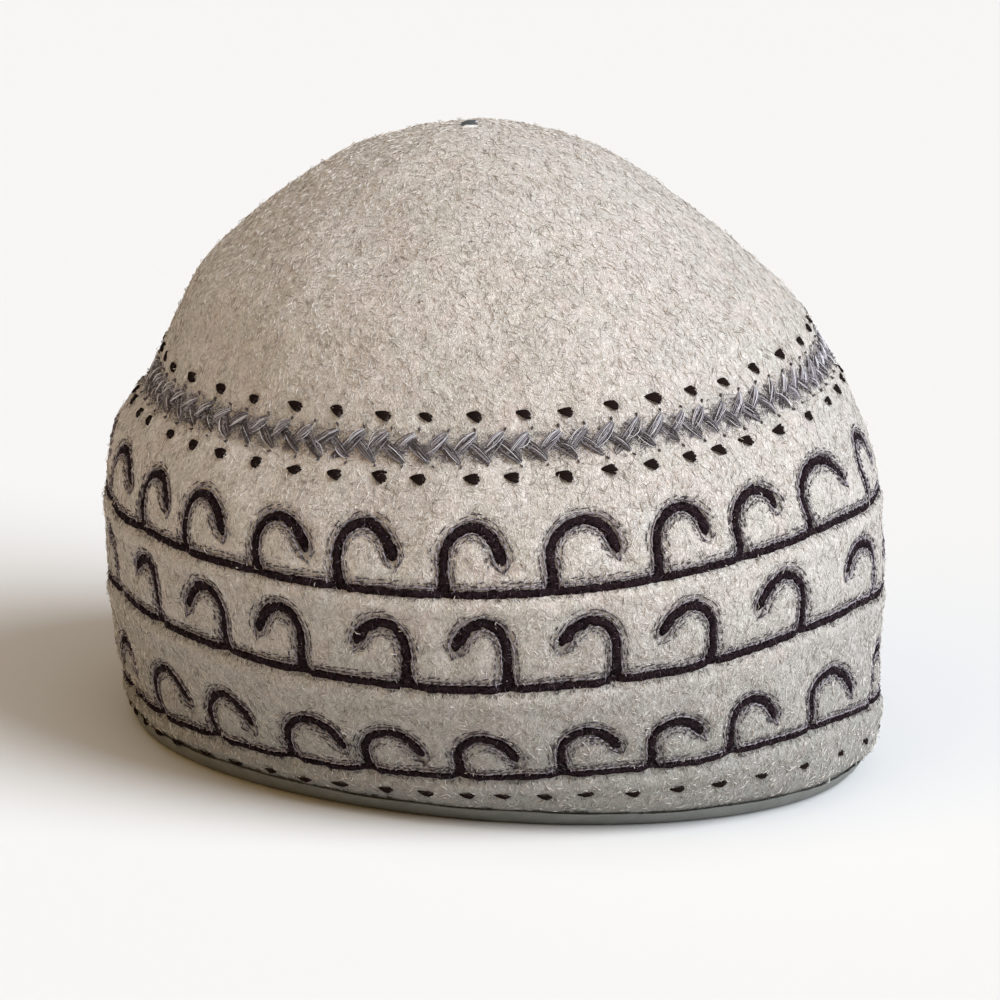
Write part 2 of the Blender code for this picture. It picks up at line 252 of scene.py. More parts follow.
# The line that the running stitches over the edge follow.
edgeLine = dict(height=0.0102, tilt=0.0054, dip=-0.0004, sag=0.0034)

# Where the running stitches lie: rows over and under the band and over the edge, by azimuth. Behind,
# they go on at the usual spacing.
runningRows = {
    "aboveBand": dict(
        line=lines["band"], over=7.2 * mm, spacing=8.1,
        azimuths=(-70, -62, -53, -44, -35, -27, -19, -12, -4, 4, 11, 19, 27, 35, 43, 51.5, 61.5, 73, 83),
    ),
    "belowBand": dict(
        line=lines["band"], over=-7.3 * mm, spacing=7.2,
        azimuths=(
            -76, -69, -60, -53, -46, -39, -32, -25, -18, -12, -4, 2, 10, 17, 24, 31, 37, 43, 51, 61, 71, 79,
        ),
    ),
    "overEdge": dict(
        line=edgeLine, over=0.0, spacing=6.6,
        azimuths=(-63, -57, -49, -42, -35, -29, -23, -16, -10, -4, 1, 7, 13, 20, 27, 34, 42, 51, 62, 73, 84),
    ),
}


def runningHeight(row, azimuth):
    return lineHeight(row["line"], azimuth) + row["over"]


def runningAzimuths(row):
    first, last = row["azimuths"][0], row["azimuths"][-1]
    behind = first + 360.0 - last
    count = round(behind / row["spacing"])
    spare = [last + behind * i / count for i in range(1, count)]
    return np.array(list(row["azimuths"]) + spare, float)


# How the felt is drawn in and puffs out, on a grid round the cap and up its wall.
relief = dict(
    columns=1200, rows=420, searchMargin=6 * mm, floorFade=8 * mm,
    cordDent=1.35 * mm, cordReach=2.7 * mm,
    lineDent=1.2 * mm, lineReachAbove=2.9 * mm, lineReachBelow=1.7 * mm,
    bulge=0.7 * mm, bulgeDrop=3.6 * mm, bulgeReach=2.6 * mm,
    stitchDent=0.55 * mm, stitchReach=1.9 * mm,
    bandDent=0.8 * mm, bandReach=4.6 * mm,
    waves=((42 * mm, 0.60 * mm), (15 * mm, 0.28 * mm), (5.5 * mm, 0.13 * mm), (2.4 * mm, 0.06 * mm)),
)


def nearest(points, targets):
    tree = KDTree(len(targets))
    for index, target in enumerate(targets):
        tree.insert(target, index)
    tree.balance()
    return np.array([tree.find(point)[2] for point in points])


# A soft dent in the felt round each target point, worked out only at the heights it can reach.
def addDents(depth, points, targets, dent, reach):
    height = points[:, 2]
    low, high = targets[:, 2].min() - relief["searchMargin"], targets[:, 2].max() + relief["searchMargin"]
    near = (height > low) & (height < high)
    depth[near] += dent * np.exp(-((nearest(points[near], targets) / reach) ** 2))


def makeRelief():
    azimuths = np.linspace(0, 360, relief["columns"], endpoint=False)
    heights = heightAt(np.linspace(0, wallLength, relief["rows"]))
    azimuth, height = (grid.ravel() for grid in np.meshgrid(azimuths, heights))
    points = plainWall(azimuth, height)
    depth = np.zeros(len(points))

    cords = np.vstack([plainWall(a[::2], h[::2]) for row in hookCourses.values() for a, h, b in row])
    addDents(depth, points, cords, relief["cordDent"], relief["cordReach"])
    for name, line in lines.items():
        over = height - lineHeight(line, azimuth)
        if name == "band":
            depth += relief["bandDent"] * np.exp(-((over / relief["bandReach"]) ** 4))
            continue
        reach = np.where(over > 0, relief["lineReachAbove"], relief["lineReachBelow"])
        depth += relief["lineDent"] * np.exp(-((over / reach) ** 2))
        below = (over + relief["bulgeDrop"]) / relief["bulgeReach"]
        depth -= relief["bulge"] * np.exp(-(below**2))

    for row in runningRows.values():
        spots = runningAzimuths(row)
        stitches = plainWall(spots, runningHeight(row, spots))
        addDents(depth, points, stitches, relief["stitchDent"], relief["stitchReach"])
    for size, amount in relief["waves"]:
        depth += amount * wander(points, size)
    fade = np.clip(height / relief["floorFade"], 0, 1)
    return (depth * fade).reshape(len(heights), len(azimuths))


print("working out the felt's relief")
reliefGrid = makeRelief()


def reliefDepth(azimuth, height):
    columns, rows = relief["columns"], relief["rows"]
    column = np.mod(azimuth, 360.0) / 360.0 * columns
    row = np.clip(alongAt(height) / wallLength * (rows - 1), 0, rows - 1.001)
    left, low = np.floor(column).astype(int) % columns, np.floor(row).astype(int)
    right = (left + 1) % columns
    across, up = column - np.floor(column), row - low
    bottom = reliefGrid[low, left] * (1 - across) + reliefGrid[low, right] * across
    top = reliefGrid[low + 1, left] * (1 - across) + reliefGrid[low + 1, right] * across
    return bottom * (1 - up) + top * up


def feltPoint(azimuth, height, off=0.0):
    azimuth, height = np.broadcast_arrays(np.asarray(azimuth, float), np.asarray(height, float))
    push = np.asarray(off - reliefDepth(azimuth, height))[..., None]
    return plainWall(azimuth, height) + wallNormal(azimuth, height) * push


# Shader maths: a socket that can be added, taken away and multiplied like a number.
class Value:
    def __init__(self, paint, socket):
        self.paint = paint
        self.socket = socket

    def maths(self, operation, *values):
        return self.paint.node("ShaderNodeMath", {"operation": operation}, dict(enumerate(values)))

    def __add__(self, other):
        return self.maths("ADD", self, other)

    def __sub__(self, other):
        return self.maths("SUBTRACT", self, other)

    def __rsub__(self, other):
        return self.maths("SUBTRACT", other, self)

    def __mul__(self, other):
        return self.maths("MULTIPLY", self, other)

    def __abs__(self):
        return self.maths("ABSOLUTE", self)

    def clamped(self):
        return self.maths("MINIMUM", self.maths("MAXIMUM", self, 0.0), 1.0)

    # 0 up to a level, and from there up to 1 at a steepness.
    def above(self, level, steepness):
        return ((self - level) * steepness).clamped()


# One material: a Principled shader and the nodes that feed it.
class Paint:
    def __init__(self, name, **settings):
        self.material = bpy.data.materials.new(name)
        self.material.use_nodes = True
        self.tree = self.material.node_tree
        self.shader = self.tree.nodes["Principled BSDF"]
        self.place = self.node("ShaderNodeTexCoord", output="Object")
        for socket, value in settings.items():
            self.feed(socket.replace("_", " "), value)

    def plug(self, socket, value):
        if isinstance(value, Value):
            self.tree.links.new(value.socket, socket)
        elif socket.type == "RGBA":
            socket.default_value = (*value, 1.0)
        else:
            socket.default_value = value

    def feed(self, name, value):
        self.plug(self.shader.inputs[name], value)

    def node(self, kind, settings=None, inputs=None, output=0):
        made = self.tree.nodes.new(kind)
        for name, value in (settings or {}).items():
            setattr(made, name, value)
        for name, value in (inputs or {}).items():
            self.plug(made.inputs[name], value)
        return Value(self, made.outputs[output])

    def stretched(self, scale):
        return self.node("ShaderNodeMapping", {}, {"Vector": self.place, "Scale": scale})

    def noise(self, size, detail=2.0, rough=0.55, bend=0.0, where=None):
        inputs = {"Vector": where or self.place, "Scale": 1 / size, "Detail": detail}
        inputs.update({"Roughness": rough, "Distortion": bend})
        return self.node("ShaderNodeTexNoise", {}, inputs)

    # Thin winding strands, 1 along their middle: where a noise crosses its own mean.
    def strands(self, size, thin, bend=0.6, where=None):
        return (1 - abs(self.noise(size, 1.0, 0.5, bend, where) - 0.5) * thin).clamped()

    def mix(self, share, first, second, way="MIX"):
        settings = {"data_type": "RGBA", "blend_type": way}
        return self.node("ShaderNodeMix", settings, {0: share, 6: first, 7: second}, output=2)

    def heightUp(self):
        return self.node("ShaderNodeSeparateXYZ", {}, {"Vector": self.place}, output=2)

    def bump(self, height, distance, strength=1.0):
        inputs = {"Height": height, "Distance": distance, "Strength": strength}
        self.feed("Normal", self.node("ShaderNodeBump", {}, inputs))


# The felt's mixed wools. Towards the rim a painted shade darkens and greys it.
feltColours = dict(
    body=(0.505, 0.447, 0.400), shade=(0.245, 0.208, 0.178), pale=(0.810, 0.760, 0.710),
    pink=(0.545, 0.432, 0.395), green=(0.455, 0.450, 0.385), cool=(0.475, 0.445, 0.435),
    paintedRimShade=(0.54, 0.565, 0.56), rimShadeFrom=8 * mm, rimShadeSteepness=15.0,
)


def feltPaint():
    paint = Paint("feltedWool", Roughness=0.95, Sheen_Weight=0.10, Sheen_Roughness=0.5)
    paint.feed("Specular IOR Level", 0.1)
    tints = paint.noise(9 * mm, 2.0).above(0.40, 5.0)
    base = paint.mix(tints, feltColours["green"], feltColours["pink"])
    patches = paint.noise(26 * mm, 2.0).above(0.42, 5.0)
    base = paint.mix(patches * 0.6, base, feltColours["cool"])
    base = paint.mix(0.45, base, feltColours["body"])
    heather = paint.noise(1.5 * mm, 3.0, 0.75, 0.5)
    blotches = paint.noise(4.5 * mm, 2.0, 0.6, 0.6)
    base = paint.mix(((0.51 - heather) * 5.0).clamped() * 0.85, base, feltColours["shade"])
    base = paint.mix(blotches.above(0.48, 4.0) * 0.45, base, feltColours["pale"])
    wool = paint.strands(1.3 * mm, 14.0, 1.3, paint.stretched((1.0, 1.0, 0.5)))
    dark = paint.strands(1.1 * mm, 14.0, 1.1, paint.stretched((1.1, 0.9, 0.6)))
    finer = paint.strands(0.75 * mm, 11.0, 0.9)
    base = paint.mix(dark * 0.45, base, feltColours["shade"])
    base = paint.mix(wool * 0.80, base, feltColours["pale"])
    base = paint.mix(finer * 0.55, base, feltColours["pale"])
    # Painted shade: the felt is darkened and greyed towards the rim.
    low = 1 - paint.heightUp().above(feltColours["rimShadeFrom"], feltColours["rimShadeSteepness"])
    base = paint.mix(low, base, feltColours["paintedRimShade"], "MULTIPLY")
    paint.feed("Base Color", base)
    paint.bump(wool * 0.6 + finer * 0.3 + heather * 1.2 + blotches * 1.2, 0.4 * mm, 0.8)
    return paint.material


def plainPaint(name, colour):
    material = bpy.data.materials.new(name)
    material.use_nodes = True
    shader = material.node_tree.nodes["Principled BSDF"]
    shader.inputs["Base Color"].default_value = (*colour, 1.0)
    shader.inputs["Roughness"].default_value = 0.95
    shader.inputs["Specular IOR Level"].default_value = 0.06
    return material


cordShades = (0.0045, 0.0022, 0.0030), (0.045, 0.028, 0.034)
tapeShades = (0.115, 0.117, 0.103), (0.235, 0.237, 0.220)


# Dark wool cord: two shades in short hairs, with the hairs and a coarser unevenness in bump.
def cordPaint():
    paint = Paint("darkWoolCord", Roughness=0.95)
    paint.feed("Specular IOR Level", 0.04)
    hairs = paint.strands(0.8 * mm, 7.0, 1.2)
    tone = paint.noise(1.6 * mm, 3.0, 0.7)
    share = (hairs * 0.6 + tone * 1.4 - 0.65).clamped()
    paint.feed("Base Color", paint.mix(share, *cordShades))
    paint.bump(hairs * 0.6 + tone * 1.5, 0.35 * mm, 0.9)
    return paint.material


def bindingPaint():
    paint = Paint("edgeTape", Roughness=0.8, Sheen_Weight=0.05)
    paint.feed("Specular IOR Level", 0.15)
    tone = paint.noise(7 * mm, 3.0, 0.6)
    threads = paint.noise(0.5 * mm, 2.0, 0.5, 0.0, paint.stretched((0.35, 0.35, 2.0)))
    share = (tone + threads * 0.5 - 0.25).clamped()
    paint.feed("Base Color", paint.mix(share, *tapeShades))
    paint.bump(threads, 0.15 * mm, 0.6)
    return paint.material


def addPiece(name, mesh, material, slotName, *nodes):
    mesh.materials.append(material)
    piece = bpy.data.objects.new(name, mesh)
    bpy.context.scene.collection.objects.link(piece)
    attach(piece, "root")
    if nodes:
        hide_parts(*nodes)
    triangles = sum(len(face.vertices) - 2 for face in mesh.polygons)
    print(name, "made,", triangles, "triangles")


def coordinates(mesh):
    places = np.zeros(len(mesh.vertices) * 3)
    mesh.vertices.foreach_get("co", places)
    return places.reshape(-1, 3)


# Moves a mesh's points to new places and turns its faces outwards.
def setCoordinates(mesh, places):
    mesh.vertices.foreach_set("co", places.ravel())
    bm = bmesh.new()
    bm.from_mesh(mesh)
    bmesh.ops.recalc_face_normals(bm, faces=bm.faces)
    bm.to_mesh(mesh)
    bm.free()
    mesh.shade_smooth()


# A profile of points a radius of 1 from +Z (0 for the ones named), spun once round it. Each point's
# height is its number in the profile, by which its ring is laid out afterwards.
def spunProfile(name, count, sides, closed=False, onAxis=()):
    bm = bmesh.new()
    profile = [bm.verts.new((0.0 if i in onAxis else 1.0, 0.0, i)) for i in range(count)]
    followers = profile[1:] + profile[:1] if closed else profile[1:]
    for first, second in zip(profile, followers):
        bm.edges.new((first, second))
    bmesh.ops.spin(
        bm, geom=bm.verts[:] + bm.edges[:], cent=(0, 0, 0), axis=(0, 0, 1), dvec=(0, 0, 0),
        angle=2 * math.pi, steps=sides, use_merge=True,
    )
    bmesh.ops.remove_doubles(bm, verts=bm.verts[:], dist=1e-4)
    mesh = bpy.data.meshes.new(name)
    bm.to_mesh(mesh)
    bm.free()
    x, y, ring = coordinates(mesh).T
    return mesh, np.degrees(np.arctan2(x, -y)), np.round(ring)


# The felt's outer and inner sides meet in a foot inside the binding. Rings are closer over the rows.
feltShell = dict(
    sides=440, outerRings=152, innerRings=22, rowsShare=0.72, rowsReach=0.62, thickness=3.0 * mm,
    footHeight=1.2 * mm, tuck=1.4 * mm, tuckHeight=6.0 * mm, tuckSoftness=0.45 * mm, footThinner=0.8 * mm,
    innerRelief=0.55,
)


def makeFelt():
    outer, inner = feltShell["outerRings"], feltShell["innerRings"]
    last = outer + inner - 1
    mesh, azimuth, ring = spunProfile("feltBody", outer + inner, feltShell["sides"], onAxis=(0, last))
    isOuter = ring < outer
    share = np.where(isOuter, 1 - ring / (outer - 1), (ring - outer) / (inner - 1))
    share = np.interp(share, (0, feltShell["rowsShare"], 1), (0, feltShell["rowsReach"], 1))
    footAlong = alongAt(feltShell["footHeight"])
    height = heightAt(footAlong + share * (wallLength - footAlong))
    tucked = 1 / (1 + np.exp((height - feltShell["tuckHeight"]) / feltShell["tuckSoftness"]))
    thickness = feltShell["thickness"] - tucked * feltShell["footThinner"]
    push = -feltShell["tuck"] * tucked - np.where(isOuter, 0.0, thickness)
    soft = np.where(isOuter, 1.0, feltShell["innerRelief"])
    normal = wallNormal(azimuth, height)
    normal = np.where((tucked > 0.5)[:, None], unit(normal * (1, 1, 0)), normal)
    places = plainWall(azimuth, height) + normal * (push - soft * reliefDepth(azimuth, height))[:, None]
    places[share > 1 - 1e-6, :2] = (levelShifts[-1], 0.0)
    setCoordinates(mesh, places)
    addPiece("feltBody", mesh, feltPaint(), "felt", "felt_cap")


# The binding is folded over the felt's cut edge and slightly puckered by its stitches.
binding = dict(
    sides=400, height=4.8 * mm, wall=0.9 * mm, inside=5.0 * mm, swell=0.35 * mm,
    puckers=71, pucker=0.10 * mm, waviness=0.25 * mm,
)


def makeBinding():
    tall, wall, inside, swell = (binding[key] for key in ("height", "wall", "inside", "swell"))
    section = np.array((  # inset from the wall, height
        (wall, tall - 0.2 * mm), (0.3 * mm, tall), (0.0, tall - 0.5 * mm), (-swell, tall * 0.5),
        (-swell * 0.6, 1.1 * mm), (0.4 * mm, 0.2 * mm), (1.2 * mm, 0.0), (inside - 1.2 * mm, 0.0),
        (inside - 0.4 * mm, 0.2 * mm), (inside + swell * 0.4, tall * 0.5), (inside, tall - 0.5 * mm),
        (inside - 0.3 * mm, tall), (inside - wall, tall - 0.2 * mm), (inside - wall, wall), (wall, wall),
    ))
    mesh, azimuth, index = spunProfile("edgeBinding", len(section), binding["sides"], closed=True)
    inset, height = section[index.astype(int)].T
    turn = np.radians(azimuth)
    high = (height / tall) ** 2
    inset = inset + binding["pucker"] * np.sin(binding["puckers"] * turn) * high
    places = plainWall(azimuth, height) - unit(wallNormal(azimuth, height) * (1, 1, 0)) * inset[:, None]
    places[:, 2] = height + binding["waviness"] * (np.sin(9 * turn + 1) + np.sin(23 * turn)) / 2 * high
    setCoordinates(mesh, places)
    addPiece("edgeBinding", mesh, bindingPaint(), "binding", "edge_binding")


# A grain of rice standing along +Z, as points and triangles: the form of every strand below.
def grain(sides, rings):
    bm = bmesh.new()
    bmesh.ops.create_uvsphere(bm, u_segments=sides, v_segments=rings + 1, radius=1.0)
    bmesh.ops.triangulate(bm, faces=bm.faces[:])
    points = np.array([vert.co for vert in bm.verts])
    triangles = np.array([[vert.index for vert in face.verts] for face in bm.faces])
    bm.free()
    return points, triangles


# One mesh of many strands of one shade. Each follows a curve from its start past its bend to its end.
class Strands:
    def __init__(self):
        self.parts = []

    def add(self, starts, bends, ends, outs, widths):
        self.parts.append((starts, bends, ends, outs, np.broadcast_to(widths, len(starts))[:, None]))

    # Blunt strands keep their width towards their ends. A weave lifts the second half over the first.
    def make(self, name, colour, slotName, *nodes, sides=3, rings=1, flat=1.0, blunt=1.0, weave=0.0):
        points, triangles = grain(sides, rings)
        starts, bends, ends, outs, widths = (np.vstack(values)[:, None, :] for values in zip(*self.parts))
        t = (points[:, 2] + 1)[None, :, None] / 2
        middle = starts * (1 - t) ** 2 + 2 * bends * t * (1 - t) + ends * t**2
        middle = middle - outs * weave * np.sin(2 * math.pi * t)
        way = unit((bends - starts) * (1 - t) + (ends - bends) * t + 1e-9)
        side = unit(np.cross(outs, way))
        out = np.cross(way, side)
        girth = np.linalg.norm(points[:, :2], axis=1)
        around = (points[:, :2] / np.maximum(girth, 1e-6)[:, None]).T[:, None, :, None]
        radius = girth[None, :, None] ** blunt * widths / 2
        places = middle + (side * around[0] + out * around[1] * flat) * radius
        corners = triangles[None] + (np.arange(len(places)) * len(points))[:, None, None]
        mesh = bpy.data.meshes.new(name)
        mesh.vertices.add(len(places) * len(points))
        mesh.vertices.foreach_set("co", places.ravel())
        mesh.loops.add(corners.size)
        mesh.loops.foreach_set("vertex_index", corners.ravel())
        mesh.polygons.add(corners.size // 3)
        mesh.polygons.foreach_set("loop_start", np.arange(0, corners.size, 3))
        mesh.update(calc_edges=True)
        mesh.shade_smooth()
        addPiece(name, mesh, plainPaint(name, colour), slotName, *nodes)


# The point of the felt that lies some way along and up it from another.
def stepped(azimuth, height, along, up, off=0.0):
    turned = azimuth + np.degrees(along / radiusAt(height))
    return feltPoint(turned, heightAt(alongAt(height) + up), off)


# A strand from one place on the felt, lying at an angle to the level line, with a bow to one side.
def addLoose(strands, azimuth, height, angle, length, bow, offs, widths):
    along, up = length * np.cos(angle), length * np.sin(angle)
    starts = feltPoint(azimuth, height, offs[0])
    bends = stepped(azimuth, height, along / 2 - up * bow, up / 2 + along * bow, offs[1])
    ends = stepped(azimuth, height, along, up, offs[2])
    strands.add(starts, bends, ends, wallNormal(azimuth, height), widths)


# Short wool fibres all over the felt, most of them upright, in several shades.
fibres = dict(
    length=(1.4 * mm, 4.2 * mm), lean=38.0, wild=0.58, bow=0.25, lowest=6.2 * mm,
    root=-0.05 * mm, lift=(0.05 * mm, 0.70 * mm), tip=(-0.05 * mm, 0.35 * mm),
    fuzzShare=0.04, fuzzLift=1.3 * mm,
    shades=(
        ("paleFibres", 23000, 0.22 * mm, (0.800, 0.755, 0.705)),
        ("woolFibres", 7500, 0.28 * mm, (0.600, 0.535, 0.478)),
        ("greyFibres", 12000, 0.14 * mm, (0.300, 0.268, 0.242)),
        ("brownFibres", 7000, 0.13 * mm, (0.175, 0.140, 0.112)),
    ),
)


def makeFibres():
    alongs = np.linspace(alongAt(fibres["lowest"]), wallLength, 4000)
    chance = np.cumsum(np.interp(alongs, tableAlongs, tableRadii))
    for name, count, width, colour in fibres["shades"]:
        height = heightAt(np.interp(draw.uniform(0, chance[-1], count), chance, alongs))
        wild = draw.uniform(0, 1, count) < fibres["wild"]
        anyWay, upright = draw.uniform(0, 180, count), draw.normal(90, fibres["lean"], count)
        angle = np.radians(np.where(wild, anyWay, upright))
        lift = draw.uniform(*fibres["lift"], count)
        lift = lift + (draw.uniform(0, 1, count) < fibres["fuzzShare"]) * fibres["fuzzLift"]
        offs = (fibres["root"], lift, draw.uniform(*fibres["tip"], count))
        length, widths = draw.uniform(*fibres["length"], count), width * draw.uniform(0.6, 1.3, count)
        azimuth, bow = draw.uniform(0, 360, count), draw.normal(0, fibres["bow"], count)
        strands = Strands()
        addLoose(strands, azimuth, height, angle, length, bow, offs, widths)
        strands.make(name, colour, "felt")


# A course's own directions over the felt, and the place some way ahead on it and to its left. Open
# is 1, but falls towards 0 where what follows the course on its two sides closes in on its end.
class Track:
    def __init__(self, course, closing=0):
        self.azimuth, self.height, self.breadth = course
        self.open = np.ones(len(self.azimuth))
        if closing:
            self.open[-closing:] = np.linspace(1.0, 0.05, closing)
        east = np.gradient(self.azimuth) * np.radians(1.0) * radiusAt(self.height)
        north = np.gradient(alongAt(self.height))
        length = np.hypot(east, north)
        self.east, self.north = east / length, north / length
        self.outs = wallNormal(self.azimuth, self.height)
        self.length = length.sum()

    def place(self, index, ahead, left, off):
        along = self.east[index] * ahead - self.north[index] * left
        up = self.north[index] * ahead + self.east[index] * left
        return stepped(self.azimuth[index], self.height[index], along, up, off)


# A cord is a tube along its course that lies in the groove it draws into the felt.
cord = dict(
    sides=8, spacing=2, thickness=1.4 * mm, off=0.35 * mm, plies=2, twist=4.6 * mm, ridge=0.07, fray=0.13,
    endTaper=(0.35, 0.85),
)


def addTube(bm, course, closed):
    azimuth, height, breadths = (values[:: cord["spacing"]] for values in course)
    points, outs = feltPoint(azimuth, height, cord["off"]), wallNormal(azimuth, height)
    ways = np.roll(points, -1, axis=0) - np.roll(points, 1, axis=0) if closed else np.gradient(points, axis=0)
    across = unit(np.cross(outs, ways))
    count, sides = len(points), cord["sides"]
    travelled = np.cumsum(np.linalg.norm(np.diff(points, axis=0, prepend=points[:1]), axis=1))
    around = np.linspace(0, 2 * math.pi, sides, endpoint=False)
    ridges = np.cos(cord["plies"] * around[None] - travelled[:, None] * 2 * math.pi / cord["twist"])
    girth = 1 + cord["ridge"] * ridges + draw.normal(0, cord["fray"], (count, sides))
    if not closed:
        for place, taper in enumerate(cord["endTaper"]):
            girth[[place, -1 - place]] *= taper
    wide = girth * breadths[:, None] / 2 * np.cos(around)
    tall = girth * cord["thickness"] / 2 * np.sin(around)
    places = points[:, None] + across[:, None] * wide[..., None] + outs[:, None] * tall[..., None]
    rings = [[bm.verts.new(place) for place in ring] for ring in places]
    pairs = zip(rings, rings[1:] + rings[:1]) if closed else zip(rings, rings[1:])
    for first, second in pairs:
        for i in range(sides):
            bm.faces.new((first[i - 1], first[i], second[i], second[i - 1]))
    if not closed:
        bm.faces.new(rings[0])
        bm.faces.new(rings[-1])


def makeHookCords():
    paint = cordPaint()
    for name in hookRows:
        bm = bmesh.new()
        addTube(bm, lineCourses[name], closed=True)
        for course in hookCourses[name]:
            addTube(bm, course, closed=False)
        bmesh.ops.recalc_face_normals(bm, faces=bm.faces)
        mesh = bpy.data.meshes.new(name + "HookCord")
        bm.to_mesh(mesh)
        bm.free()
        mesh.shade_smooth()
        addPiece(name + "HookCord", mesh, paint, "dark_cord", name + "_hook_cord")


# Fibres that stray over the cords' edges, dark from the cords and pale from the felt. The pale ones also
# stand for specks of the cords' sheen, a painted highlight. Their feet are at a share of the cord's breadth,
# on both sides of its middle.
darkStrays = dict(
    spacing=0.50 * mm, length=(0.4 * mm, 1.5 * mm), width=0.17 * mm, foot=0.36, drift=0.9 * mm,
    root=0.6 * mm, lift=(0.5 * mm, 1.1 * mm), tip=(-0.1 * mm, 0.4 * mm), colour=(0.016, 0.009, 0.012),
)
# Pale strays: felt fibres over the cords, and partly painted highlight specks of the cords' sheen.
paleStraysAndSheen = dict(
    spacing=1.2 * mm, length=(0.8 * mm, 2.4 * mm), width=0.11 * mm, foot=0.6, drift=1.0 * mm,
    offs=(0.9 * mm, 1.25 * mm, 0.3 * mm), colour=(0.230, 0.190, 0.212),
)


# Strays that reach aside of a course from their feet and drift along it.
def addStrays(strands, track, index, foot, reach, drift, offs, width):
    starts = track.place(index, 0.0, foot, offs[0])
    bends = track.place(index, drift / 2, foot + reach / 2, offs[1])
    ends = track.place(index, drift, foot + reach, offs[2])
    strands.add(starts, bends, ends, track.outs[index], width)


def addDarkStrays(strands, track):
    count = int(track.length / darkStrays["spacing"])
    index = draw.integers(0, len(track.azimuth), count)
    side = draw.choice((-1.0, 1.0), count)
    reach = side * draw.uniform(*darkStrays["length"], count)
    drift = draw.normal(0, darkStrays["drift"], count)
    lift, tip = (draw.uniform(*darkStrays[key], count) for key in ("lift", "tip"))
    foot, offs = side * darkStrays["foot"] * track.breadth[index], (darkStrays["root"], lift, tip)
    addStrays(strands, track, index, foot, reach, drift, offs, darkStrays["width"])


def addPaleStraysAndSheen(strands, track):
    count = int(track.length / paleStraysAndSheen["spacing"])
    index = draw.integers(0, len(track.azimuth), count)
    reach = draw.uniform(*paleStraysAndSheen["length"], count) * draw.choice((-1.0, 1.0), count)
    drift = draw.normal(0, paleStraysAndSheen["drift"], count)
    foot = draw.uniform(-paleStraysAndSheen["foot"], paleStraysAndSheen["foot"], count) * track.breadth[index]
    addStrays(strands, track, index, foot, reach, drift, paleStraysAndSheen["offs"], paleStraysAndSheen["width"])


def makeStrays():
    dark, pale = Strands(), Strands()
    for name in hookRows:
        for course in hookCourses[name] + [lineCourses[name]]:
            track = Track(course)
            addDarkStrays(dark, track)
            addPaleStraysAndSheen(pale, track)
    dark.make("cordFibres", darkStrays["colour"], "dark_cord")
    # Pale strays over the cords: partly painted highlight.
    pale.make("crossingFibresAndSheen", paleStraysAndSheen["colour"], "felt")


# The thread laid beside the cords starts a little up each hook and goes on past its tip, closing in.
# Its pale ply is twisted, with dark strands between its turns that paint the shade there, and dark pips
# along its outer edge are partly the stitches that catch it down and partly painted shade. Each swings
# from one side of its place to the other, and its ends dive towards the felt.
outline = dict(pitch=2.1 * mm, start=1.2 * mm, footRoom=2.3 * mm, beyond=4, closing=6, dive=0.2 * mm)
palePly = dict(
    gap=0.50 * mm, untidy=0.12 * mm, swing=0.20 * mm, length=2.5 * mm, width=0.70 * mm, off=0.50 * mm,
    colour=(0.310, 0.272, 0.296),
)
# Dark strands laid between the pale ply's turns: painted shade.
turnShade = dict(
    beside=0.25 * mm, kept=0.7, swing=0.12 * mm, length=1.4 * mm, width=0.50 * mm, off=0.45 * mm,
    colour=(0.070, 0.056, 0.064),
)
# Dark pips along the outer edge: partly catching stitches, partly painted shade.
pip = dict(
    gap=1.70 * mm, untidy=0.22 * mm, kept=0.85, swing=0.10 * mm, length=1.9 * mm, width=0.46 * mm,
    off=0.25 * mm, colour=(0.090, 0.074, 0.081),
)
haze = dict(
    spacing=0.32 * mm, closest=-0.15, reach=2.5 * mm, length=(0.6 * mm, 1.7 * mm), slant=0.70,
    width=(0.13 * mm, 0.24 * mm), root=0.05 * mm, lift=(0.4 * mm, 1.2 * mm),
    greyShare=0.62, paleShare=0.38, grey=(0.095, 0.079, 0.088), pale=(0.500, 0.455, 0.485),
)


# A hook's course, gone on a little past the tip, where the threads of its two sides meet.
def pastTip(course):
    azimuth, height, breadth = course
    steps = np.arange(1, outline["beyond"] + 1)
    azimuth = np.append(azimuth, azimuth[-1] + (azimuth[-1] - azimuth[-2]) * steps)
    height = np.append(height, height[-1] + (height[-1] - height[-2]) * steps)
    return azimuth, height, np.append(breadth, breadth[-1] * (1 - steps / outline["beyond"]))


def addTwist(strands, track, index, aside, ply):
    half, swing, low = ply["length"] / 2 / hookForm["step"], ply["swing"], ply["off"] - outline["dive"]
    ahead = np.round(half * draw.uniform(0.6, 1.3, len(index))).astype(int)
    back, fore = np.maximum(index - ahead, 0), np.minimum(index + ahead, len(track.open) - 1)
    starts = track.place(back, 0.0, (aside - swing) * track.open[back], low)
    middles = track.place(index, 0.0, aside * track.open[index], ply["off"])
    ends = track.place(fore, 0.0, (aside + swing) * track.open[fore], low)
    bends = 2 * middles - (starts + ends) / 2
    strands.add(starts, bends, ends, track.outs[index], ply["width"] * draw.uniform(0.7, 1.2, len(index)))


# A haze of the thread's fibres on one side of a course, each slanting in or out.
def addHaze(strands, track, side, first, share):
    count = int(track.length / haze["spacing"] * share)
    index = draw.integers(first, len(track.azimuth), count)
    reach = haze["reach"] * draw.uniform(haze["closest"], 1, count)
    left = side * (track.breadth[index] / 2 + reach) * track.open[index]
    half = draw.uniform(*haze["length"], count) / 2
    slant = draw.normal(0, haze["slant"], count) * half
    lift = draw.uniform(*haze["lift"], count)
    starts = track.place(index, -half, left - slant, haze["root"])
    bends = track.place(index, 0.0, left + slant * 0.5, lift)
    ends = track.place(index, half, left + slant, haze["root"])
    strands.add(starts, bends, ends, track.outs[index], draw.uniform(*haze["width"], count))


